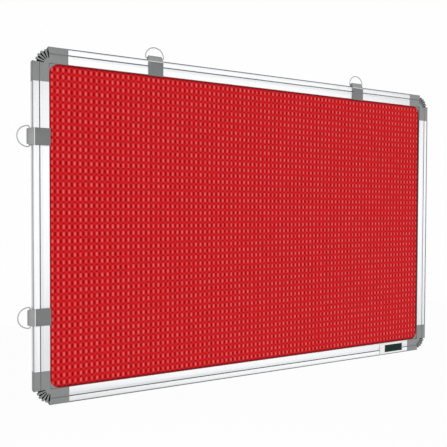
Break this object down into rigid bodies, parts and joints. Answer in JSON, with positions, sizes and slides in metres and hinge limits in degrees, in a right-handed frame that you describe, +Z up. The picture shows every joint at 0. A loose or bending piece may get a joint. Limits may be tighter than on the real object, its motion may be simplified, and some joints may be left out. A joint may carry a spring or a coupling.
{
  "type": "display board",
  "caption": "Wall-hung pin-up board: fabric-covered soft panel in an aluminium rail frame with ribbed moulded corners and clip-on D-ring hangers.",
  "frame": {"origin": "middle of the plane that lies against the wall, behind the middle of the board", "axes": "+X to the right as seen from the front, +Y into the wall, +Z up; the fabric faces -Y"},
  "size_m": [0.9245, 0.0199, 0.6245],
  "materials": {
    "rail_aluminium": "fine satin anodised",
    "corner_plastic": "fine moulded texture",
    "clip_plastic": "smooth moulded",
    "ring_wire": "bright plated wire",
    "screw_steel": "zinc plated",
    "cover_fabric": "small woven lozenge pattern",
    "core_board": "raw soft fibreboard",
    "backing_board": "smooth hardboard"
  },
  "bodies": {
    "board": {"frame_rail_top": "rail_aluminium", "frame_rail_bottom": "rail_aluminium", "frame_rail_left": "rail_aluminium", "frame_rail_right": "rail_aluminium", "corner_top_left": "corner_plastic", "corner_top_right": "corner_plastic", "corner_bottom_right": "corner_plastic", "corner_bottom_left": "corner_plastic", "corner_screw_top_1": "screw_steel", "corner_screw_top_2": "screw_steel", "corner_screw_right_1": "screw_steel", "corner_screw_right_2": "screw_steel", "corner_screw_bottom_1": "screw_steel", "corner_screw_bottom_2": "screw_steel", "corner_screw_left_1": "screw_steel", "corner_screw_left_2": "screw_steel", "fabric_cover": "cover_fabric", "soft_core": "core_board", "backing_sheet": "backing_board", "hanger_clip_top_left": "clip_plastic", "hanger_clip_top_right": "clip_plastic", "hanger_clip_left_lower": "clip_plastic", "hanger_clip_left_upper": "clip_plastic"},
    "ring_top_left": {"hanger_ring_top_left": "ring_wire"},
    "ring_top_right": {"hanger_ring_top_right": "ring_wire"},
    "ring_left_lower": {"hanger_ring_left_lower": "ring_wire"},
    "ring_left_upper": {"hanger_ring_left_upper": "ring_wire"}
  },
  "joints": [
    {"name": "swing_top_left", "type": "hinge", "parent": "board", "child": "ring_top_left", "pos_m": [-0.235, -0.0128, 0.304], "axis": [1, 0, 0], "range_deg": [-94, 120]},
    {"name": "swing_top_right", "type": "hinge", "parent": "board", "child": "ring_top_right", "pos_m": [0.235, -0.0128, 0.304], "axis": [1, 0, 0], "range_deg": [-94, 120]},
    {"name": "swing_left_lower", "type": "hinge", "parent": "board", "child": "ring_left_lower", "pos_m": [-0.454, -0.0128, -0.15], "axis": [0, 0, 1], "range_deg": [-94, 120]},
    {"name": "swing_left_upper", "type": "hinge", "parent": "board", "child": "ring_left_upper", "pos_m": [-0.454, -0.0128, 0.15], "axis": [0, 0, 1], "range_deg": [-94, 120]}
  ]
}
